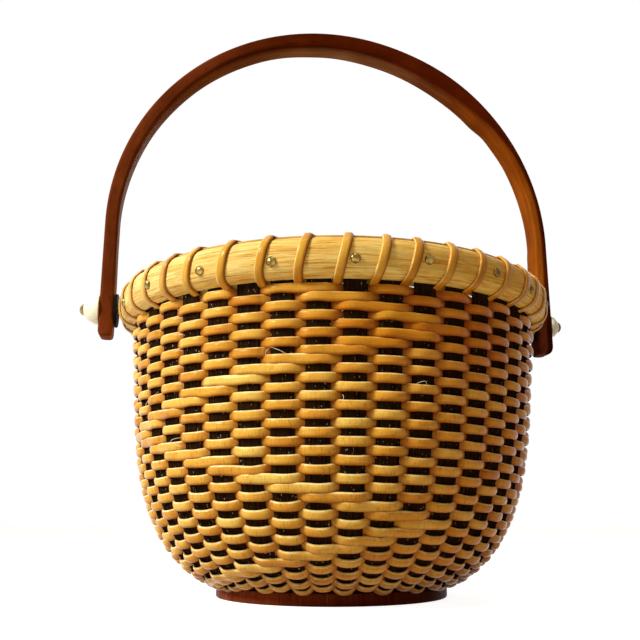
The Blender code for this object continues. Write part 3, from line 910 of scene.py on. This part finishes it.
def make_fibres():
    """Loose fibres that stand off the cane, as (bays, height up the wall) of three points."""
    seen = [
        ((28.56, 0.0809), (28.59, 0.0827), (28.71, 0.0838)),
        ((28.71, 0.0838), (28.98, 0.0829), (29.22, 0.0811)),
        ((24.50, 0.0744), (23.92, 0.0718), (23.38, 0.0691)),
        ((32.68, 0.0729), (32.98, 0.0750), (33.02, 0.0730)),
        ((30.68, 0.0679), (30.72, 0.0686), (30.67, 0.0693)),
        ((25.05, 0.0570), (25.30, 0.0588), (25.62, 0.0586)),
        ((25.20, 0.0576), (25.45, 0.0568), (25.60, 0.0560)),
    ]
    chance = random.Random(23)
    for _ in range(22):
        bays, along = chance.uniform(-1, STAVE_COUNT / 2 - 1), chance.uniform(0.012, 0.096)
        slope, reach = chance.uniform(0.0, math.pi), chance.uniform(0.0008, 0.0028)
        ends = [
            (bays + side * reach * math.cos(slope) / 0.012, along + side * reach * math.sin(slope))
            for side in (-1, 1)
        ]
        bow = (bays + chance.uniform(-0.1, 0.1), along + chance.uniform(-0.0006, 0.0006))
        seen.append((ends[0], bow, ends[1]))
    rings = 9
    whole = bmesh.new()
    for low, middle, high in seen:
        shape = bar([(1, 0), (0, 1), (-1, 0), (0, -1)], rings)
        path = []
        for ring in range(rings):
            share = ring / (rings - 1)
            bays, along = (
                blend(blend(a, b, share), blend(b, c, share), share)
                for a, b, c in zip(low, middle, high)
            )
            out = 0.0011 + 0.0011 * math.sin(math.pi * share)
            path.append((around(*wall(along, out), bays * BAY), bays * BAY))
        places = []
        for ring, (centre, angle) in enumerate(path):
            ahead = (path[min(rings - 1, ring + 1)][0] - path[max(0, ring - 1)][0]).normalized()
            away = Vector((math.cos(angle), math.sin(angle), 0.0))
            across = ahead.cross(away).normalized()
            share = ring / (rings - 1)
            thin = 0.00008 * (1.0 - 0.6 * abs(2 * share - 1) ** 2)
            through = across.cross(ahead).normalized()
            places.append((centre, across * thin, through * thin, share * 0.004, 0.5, 0.0))
        lay_bar(shape, places)
        bmesh.ops.recalc_face_normals(shape, faces=shape.faces)
        add_to(whole, shape)
    finish_piece("loose_fibres", whole, "fibre", "basket")


# Rims, cap, lashing and pins


def hoop_swell(share, crown):
    """A half round, a little flattened: how far the hoop stands out at a share of its height."""
    return crown * (1 - abs(2 * share - 1) ** 3) ** 0.6


def make_hoops():
    steps = 20
    inner_seat = -STAVE_THICKNESS - SEAT_GAP
    for name, seat, crown, side, node in (
        ("outer_hoop", SEAT_GAP, OUTER_CROWN, 1, "outer_rim"),
        ("inner_hoop", inner_seat, INNER_CROWN, -1, "inner_rim"),
    ):
        face = []
        for step in range(steps + 1):
            share = 0.5 - 0.5 * math.cos(math.pi * step / steps)
            foot = RIM_FOOT if side > 0 else RIM_FOOT - INNER_HOOP_DROP
            up = blend(foot, RIM_FOOT + RIM_HEIGHT, share)
            face.append((up, seat + side * hoop_swell(share, crown)))
        shape = outline_of([wall(*point) for point in face])
        turn(shape, 252)
        bmesh.ops.translate(shape, vec=(ASKEW, 0, 0), verts=shape.verts)
        finish_piece(name, shape, "hoop", "basket", [node], sharp=50)


def make_cap():
    middle = -STAVE_THICKNESS / 2
    top = RIM_FOOT + RIM_HEIGHT + CAP_RISE
    foot = top - CAP_THICKNESS
    line = [
        (foot, middle - CAP_WIDTH / 2),
        (foot, middle + CAP_WIDTH / 2),
        (top, middle + CAP_WIDTH / 2),
        (top, middle - CAP_WIDTH / 2),
    ]
    shape = outline_of([wall(*point) for point in line], [0, 1, 2, 3], 0.0002)
    turn(shape, 252)
    bmesh.ops.translate(shape, vec=(ASKEW, 0, 0), verts=shape.verts)
    finish_piece("cap_strip", shape, "cap", "basket", ["rim_cap"], sharp=50)


def wrap_line(count):
    """One wrap as (distance up, distance out), pulled tight round hoops and cap."""
    solid = []
    for share in [step / 16 for step in range(17)]:
        high = RIM_FOOT + RIM_HEIGHT
        outer, inner = blend(RIM_FOOT, high, share), blend(RIM_FOOT - INNER_HOOP_DROP, high, share)
        solid.append((outer, SEAT_GAP + hoop_swell(share, OUTER_CROWN)))
        solid.append((inner, -STAVE_THICKNESS - SEAT_GAP - hoop_swell(share, INNER_CROWN)))
    middle = -STAVE_THICKNESS / 2
    top = RIM_FOOT + RIM_HEIGHT + CAP_RISE
    solid += [(top, middle + CAP_WIDTH / 2), (top, middle - CAP_WIDTH / 2)]
    hull = [Vector(solid[i]) for i in convex_hull_2d([Vector(point) for point in solid])]
    centre = sum(hull, Vector((0.0, 0.0))) / len(hull)
    lift = LASH_THICKNESS / 2 + 0.00006
    loop = []
    for i, point in enumerate(hull):
        before, after = hull[i - 1], hull[(i + 1) % len(hull)]
        for edge in ((point - before), (after - point)):
            facing = Vector((edge.y, -edge.x)).normalized()
            if facing.dot(point - centre) < 0:
                facing.negate()
            loop.append(point + facing * lift)
    start = min(range(len(loop)), key=lambda i: (round(loop[i].x, 5), abs(loop[i].y - middle)))
    loop = loop[start:] + loop[:start]
    if loop[len(loop) // 4].y < middle:
        loop = [loop[0]] + loop[:0:-1]
    lengths = [0.0]
    for i in range(len(loop)):
        lengths.append(lengths[-1] + (loop[(i + 1) % len(loop)] - loop[i]).length)
    line = []
    for step in range(count):
        wanted = lengths[-1] * step / count
        i = max(j for j in range(len(loop)) if lengths[j] <= wanted)
        share = (wanted - lengths[i]) / max(1e-9, lengths[i + 1] - lengths[i])
        line.append(loop[i].lerp(loop[(i + 1) % len(loop)], share))
    return line


def make_lashing():
    """One strand of cane round the hoops and the cap, slanting to the right outside."""
    count = 36
    line = wrap_line(count)
    foot = min(point.x for point in line)
    top = max(point.x for point in line)
    middle = -STAVE_THICKNESS / 2
    chance = random.Random(3)
    drifts = [WRAP_DRIFTS.get(bay, chance.uniform(-0.07, 0.07)) for bay in range(STAVE_COUNT)]
    places = []
    for bay in range(STAVE_COUNT):
        tone = chance.uniform(0.2, 0.8)
        drift, after = drifts[bay], drifts[(bay + 1) % STAVE_COUNT]
        for i, (along, out) in enumerate(line):
            rise = (along - foot) / (top - foot)
            outside = -0.15 + 0.30 * rise + drift
            inside = 0.85 - 0.60 * rise + blend(after, drift, rise)
            share = outside if i < count / 2 else inside
            if rise > 0.9:
                share = blend(inside, outside, ease(0.5 + (out - middle) / 0.0044))
            angle = (bay - 0.5 + share) * BAY
            places.append((around(*wall(along, out), angle), (along, out), angle, tone))
    laid = []
    length = 0.0
    for i, (centre, (along, out), angle, tone) in enumerate(places):
        before = places[max(0, i - 1)]
        after = places[min(len(places) - 1, i + 1)]
        ahead = (after[0] - before[0]).normalized()
        inside = around(*wall(RIM_FOOT + RIM_HEIGHT / 2, middle), angle)
        away = centre - inside
        across = ahead.cross(away).normalized()
        through = across.cross(ahead).normalized()
        length += (centre - before[0]).length
        laid.append((centre, across * (LASH_WIDTH / 2), through * LASH_THICKNESS, length, tone, 0.0))
    shape = lay_bar(bar(STRIP_SECTION, len(laid)), laid)
    finish_piece("rim_lashing", shape, "lash", "basket", ["lashing"], sharp=80)


def make_pins():
    """Domed brass pins through the rims, one at every second stave."""
    whole = bmesh.new()
    middle = RIM_FOOT + RIM_HEIGHT / 2
    lean = Matrix.Rotation(wall_lean(middle), 4, "Y")
    strays = random.Random(11)
    for number in range(1, STAVE_COUNT, 2):
        if number == STAVE_COUNT // 2:
            continue
        by_chance = (strays.uniform(-0.15, 0.05), strays.uniform(-0.0012, 0.0002))
        drift, rise = PIN_DRIFTS.get(number, by_chance)
        angle = (number + drift) * BAY
        swell = hoop_swell(0.5 + rise / RIM_HEIGHT, 1.0)
        for head, reach, side in ((0.0016, OUTER_CROWN, 1), (0.00085, INNER_CROWN, -1)):
            dome = bmesh.new()
            corner = []
            for step in range(6):
                slope = math.pi / 2 * step / 5
                point = (head * math.sin(slope), 0.0, head * 0.62 * math.cos(slope))
                corner.append(dome.verts.new(point))
            corner.append(dome.verts.new((head * 0.98, 0.0, -0.0003)))
            corner.append(dome.verts.new((0.0, 0.0, -0.0003)))
            for low, high in zip(corner, corner[1:]):
                dome.edges.new((low, high))
            turn(dome, 20)
            reach *= swell
            seat = SEAT_GAP + reach if side > 0 else -STAVE_THICKNESS - SEAT_GAP - reach
            place = around(*wall(middle + rise, seat), angle)
            facing = Matrix.Rotation(angle, 4, "Z") @ lean
            facing = facing @ Matrix.Rotation(side * math.pi / 2, 4, "Y")
            bmesh.ops.transform(dome, matrix=Matrix.Translation(place) @ facing, verts=dome.verts)
            bmesh.ops.recalc_face_normals(dome, faces=dome.faces)
            add_to(whole, dome)
    finish_piece("rim_pins", whole, "brass", "basket", sharp=60)


# Pivots


def ear_face():
    """Where the handle's inner face runs beside the rim, out from the axis."""
    rim_face = wall(RIM_FOOT + RIM_HEIGHT / 2, SEAT_GAP + OUTER_CROWN)[0]
    return rim_face + 3 * SEAT_GAP + 0.0008 + WASHER_THICKNESS


def make_pivots():
    inner_face = wall(RIM_FOOT + RIM_HEIGHT / 2, -STAVE_THICKNESS - SEAT_GAP - INNER_CROWN)[0]
    burr_face = inner_face - 2 * SEAT_GAP - LASH_THICKNESS
    washer_face = ear_face() - SEAT_GAP - WASHER_THICKNESS
    hole = 0.0017
    for side, word, ear_extra, (knob_length, knob_radius) in (
        (1, "right", RIGHT_EAR_EXTRA, RIGHT_KNOB),
        (-1, "left", 0.0, LEFT_KNOB),
    ):
        knob_face = ear_face() + EAR_THICKNESS + ear_extra + SEAT_GAP / 4
        knob_end = knob_face + knob_length
        rod = [
            (knob_end + 0.0015, 0.0),
            (knob_end + 0.00135, 0.0009),
            (knob_end + 0.0009, 0.00165),
            (knob_end + 0.0003, 0.0021),
            (knob_end + 0.0001, 0.0021),
            (knob_end + 0.0001, 0.0015),
            (burr_face - 0.0013, 0.0015),
            (burr_face - 0.0013, 0.0021),
            (burr_face - 0.0018, 0.0018),
            (burr_face - 0.0024, 0.0010),
            (burr_face - 0.0026, 0.0),
        ]
        knob = [(knob_face, hole), (knob_face, knob_radius - 0.0003)]
        for step in range(10):
            rise = step / 9
            swell = blend(knob_radius, 0.0023, rise**1.8) - 0.0006 * max(0.0, rise - 0.8)
            knob.append((knob_face + 0.0002 + (knob_length - 0.0004) * rise, swell))
        knob += [(knob_end, 0.0020), (knob_end, hole)]
        washer = [
            (washer_face, hole),
            (washer_face, 0.0062),
            (washer_face + 0.0002, 0.0064),
            (washer_face + WASHER_THICKNESS - 0.0002, 0.0064),
            (washer_face + WASHER_THICKNESS, 0.0062),
            (washer_face + WASHER_THICKNESS, hole),
        ]
        burr = [
            (burr_face, hole),
            (burr_face, 0.0032),
            (burr_face - 0.0007, 0.0032),
            (burr_face - 0.0010, 0.0029),
            (burr_face - 0.0010, hole),
        ]
        for name, points, finish, slot, node, closed in (
            ("pivot_pin", rod, "brass", "brass", "pivot_rod", False),
            ("bone_knob", knob, "bone", "bone", "knob", True),
            ("ebony_washer", washer, "ebony", "ebony", "washer", True),
            ("brass_burr", burr, "brass", "brass", "burr", True),
        ):
            shape = bmesh.new()
            corner = [shape.verts.new((side * x, 0.0, PIVOT_HEIGHT + r)) for x, r in points]
            for i in range(0 if closed else 1, len(corner)):
                shape.edges.new((corner[i - 1], corner[i]))
            turn(shape, 64, centre=(0, 0, PIVOT_HEIGHT), axis=(1, 0, 0))
            bmesh.ops.translate(shape, vec=(ASKEW, 0, 0), verts=shape.verts)
            finish_piece(
                f"{name}_{word}", shape, finish, "basket", [f"{node}_{word}"], sharp=35
            )


# Handle


def bail_thickness(share):
    """How thick the bail is at a share of its arch. It turns thick abruptly on the right."""
    stations = (
        (0.0, LEG_THICKNESS), (0.14, 0.0055), (0.19, 0.0068), (0.235, 0.0088), (0.30, 0.0092),
        (0.42, 0.0086), (0.52, GRIP_THICKNESS), (0.62, 0.0068), (0.74, 0.0060), (0.86, 0.0055),
        (1.0, LEG_THICKNESS),
    )
    for (low, thin), (high, thick) in zip(stations, stations[1:]):
        if share <= high:
            return blend(thin, thick, ease((share - low) / (high - low)))
    return LEG_THICKNESS


def bail_section(width, thickness, outer, inner):
    """40 points round a section as (through, aside), measured in from its outer face."""
    points = []
    steps = 9
    for turned in range(4):
        face = 1 if turned in (0, 3) else -1
        side = 1 if turned in (0, 1) else -1
        radius = min(outer if face > 0 else inner, thickness / 2, width / 2)
        for step in range(steps):
            slope = (turned + step / (steps - 1)) * math.pi / 2
            through = face * (thickness / 2 - radius) + radius * math.cos(slope)
            points.append(
                (through - thickness / 2, side * (width / 2 - radius) + radius * math.sin(slope))
            )
        flat = ((-thickness / 2, width / 2), (-thickness, 0.0), (-thickness / 2, -width / 2), (0.0, 0.0))
        points.append(flat[turned])
    return points


def bail_stations():
    """(x, z, slope, thickness, outer and inner corner, inset) from the right ear to the left."""
    outside = ear_face() + EAR_THICKNESS
    rounded = 0.0012
    left = []
    right = []
    for ear, drop, (corner_height, corner_inset) in (
        (left, LEFT_EAR_DROP, LEFT_EAR_CORNER),
        (right, RIGHT_EAR_DROP, RIGHT_EAR_CORNER),
    ):
        extra = RIGHT_EAR_EXTRA if ear is right else 0.0
        levels = []
        for step in range(7):
            bend = math.pi / 2 * step / 6
            inset = 1 - math.sin(bend)
            rise = corner_height * (1 - math.cos(bend))
            levels.append((rise - drop, corner_inset * inset, 0.0007 * inset))
        for step in range(1, 13):
            levels.append((blend(corner_height - drop, LEG_LENGTH, step / 13), 0.0, 0.0))
        for height, outer_inset, inset in levels:
            thick = blend(EAR_THICKNESS, LEG_THICKNESS, ease((height - 0.006) / 0.02))
            thick -= outer_inset + inset
            if ear is right:
                thick += blend(extra, 0.0003, ease((height - 0.012) / 0.02))
            x = outside + extra - outer_inset
            if ear is left:
                ear.append((-x, height, math.pi, thick, rounded, rounded, inset))
            else:
                ear.append((x, height, 0.0, thick, rounded, rounded, inset))
    arch = []
    steps = 110
    for step in range(steps + 1):
        share = step / steps
        slope = math.pi * share
        thick = bail_thickness(share)
        inner = blend(rounded, 0.0036, ease((thick - LEG_THICKNESS) / 0.0026))
        shoulder = RIGHT_EAR_EXTRA * (1 - ease((share - 0.26) / 0.16))
        x = (outside + shoulder) * math.cos(slope)
        z = LEG_LENGTH + (ARCH_RISE + GRIP_THICKNESS / 2 + shoulder) * math.sin(slope)
        arch.append((x, z, slope, thick, rounded, inner, 0.0))
    return right + arch + left[::-1]


def make_handle():
    """The bentwood bail, flat at its ears and rounded inside to a grip at the top."""
    stations = bail_stations()
    points = len(bail_section(1, 1, 0.1, 0.1))
    shape = bar([(i, 0.0) for i in range(points)], len(stations))
    sections = [
        bail_section(HANDLE_WIDTH - 2 * inset, thick, outer, inner)
        for _, _, _, thick, outer, inner, inset in stations
    ]
    lengths = [0.0]
    for (x0, z0, *_), (x1, z1, *_) in zip(stations, stations[1:]):
        lengths.append(lengths[-1] + math.hypot(x1 - x0, z1 - z0))
    lay = shape.verts.layers.float_vector.new("lay")
    for vertex in shape.verts:
        ring = round(vertex.co.z)
        through, aside = sections[ring][round(vertex.co.x)]
        x, z, slope, thick, *_ = stations[ring]
        vertex[lay] = (lengths[ring], aside / HANDLE_WIDTH * 2, -through / thick)
        vertex.co = (
            ASKEW + x + math.cos(slope) * through,
            aside,
            PIVOT_HEIGHT + z + math.sin(slope) * through,
        )
    finish_piece("bentwood_handle", shape, "handle", "swing_handle", ["handle"])


make_base()
make_staves()
make_weave()
make_fibres()
make_hoops()
make_cap()
make_lashing()
make_pins()
make_pivots()
make_handle()


# Studio


def seen_straight(tree):
    """1 for a ray from the camera, a reflection or a see-through piece, 0 for soft light."""
    path = tree.nodes.new("ShaderNodeLightPath")
    either = path.outputs["Is Camera Ray"]
    for name in ("Is Glossy Ray", "Is Transmission Ray"):
        more = tree.nodes.new("ShaderNodeMath")
        more.operation = "MAXIMUM"
        tree.links.new(either, more.inputs[0])
        tree.links.new(path.outputs[name], more.inputs[1])
        either = more.outputs[0]
    return either


def make_studio():
    scene = bpy.context.scene
    scene.view_settings.view_transform = "Standard"
    bpy.ops.mesh.primitive_plane_add(size=8.0)
    floor = bpy.context.object
    floor.name = "floor"
    paint = bpy.data.materials.new("pale_floor")
    paint.use_nodes = True
    tree = paint.node_tree
    tree.nodes.clear()
    flat = tree.nodes.new("ShaderNodeBsdfDiffuse")
    flat.inputs["Color"].default_value = (0.62, 0.57, 0.50, 1.0)
    glow = tree.nodes.new("ShaderNodeEmission")
    share = tree.nodes.new("ShaderNodeMath")
    share.operation = "MULTIPLY"
    share.inputs[1].default_value = 0.94
    both = tree.nodes.new("ShaderNodeAddShader")
    end = tree.nodes.new("ShaderNodeOutputMaterial")
    tree.links.new(seen_straight(tree), share.inputs[0])
    tree.links.new(share.outputs[0], glow.inputs["Strength"])
    tree.links.new(flat.outputs[0], both.inputs[0])
    tree.links.new(glow.outputs[0], both.inputs[1])
    tree.links.new(both.outputs[0], end.inputs["Surface"])
    floor.data.materials.append(paint)

    world = bpy.data.worlds.new("studio")
    scene.world = world
    world.use_nodes = True
    tree = world.node_tree
    back = tree.nodes["Background"]
    strength = tree.nodes.new("ShaderNodeMapRange")
    strength.inputs["To Min"].default_value = 0.115
    strength.inputs["To Max"].default_value = 1.0
    straight = seen_straight(tree)
    tree.links.new(straight, strength.inputs["Value"])
    warmth = tree.nodes.new("ShaderNodeMix")
    warmth.data_type = "RGBA"
    warmth.inputs[6].default_value = (1.0, 0.72, 0.42, 1.0)
    warmth.inputs[7].default_value = (1.0, 1.0, 1.0, 1.0)
    tree.links.new(straight, warmth.inputs[0])
    tree.links.new(warmth.outputs[2], back.inputs["Color"])
    tree.links.new(strength.outputs["Result"], back.inputs["Strength"])

    for name, angle, lift, far, size, power, tint in (
        ("key", 205.0, 30.0, 0.80, 0.18, 7.3, (0.96, 1.01, 1.06)),
        ("front_fill", 270.0, 12.0, 1.0, 0.6, 0.20, (1.0, 0.70, 0.40)),
        ("top_light", 255.0, 68.0, 0.8, 0.28, 1.8, (1.0, 0.94, 0.84)),
        ("right_back_fill", 66.0, 32.0, 1.0, 0.5, 2.6, (1.0, 0.94, 0.86)),
        ("left_back_fill", 135.0, 36.0, 1.0, 0.5, 1.6, (1.0, 0.94, 0.86)),
    ):
        lamp = bpy.data.lights.new(name, "AREA")
        lamp.shape = "SQUARE"
        lamp.size = size
        lamp.energy = power
        lamp.color = tint
        obj = bpy.data.objects.new(name, lamp)
        scene.collection.objects.link(obj)
        turned, up = math.radians(angle), math.radians(lift)
        towards = Vector(
            (math.cos(turned) * math.cos(up), math.sin(turned) * math.cos(up), math.sin(up))
        )
        obj.location = Vector((0.0, 0.0, 0.09)) + towards * far
        obj.rotation_euler = towards.to_track_quat("Z", "Y").to_euler()


def make_camera():
    lens = bpy.data.cameras.new("view")
    lens.lens = 44.81
    lens.clip_start = 0.01
    camera = bpy.data.objects.new("view", lens)
    bpy.context.scene.collection.objects.link(camera)
    yaw = math.radians(9.58)
    camera.location = (-0.305 * math.sin(yaw), -0.305 * math.cos(yaw), 0.0266)
    camera.rotation_euler = (math.radians(90 + 14.06), 0.0, -yaw + 0.01343)
    bpy.context.scene.camera = camera


make_studio()
make_camera()
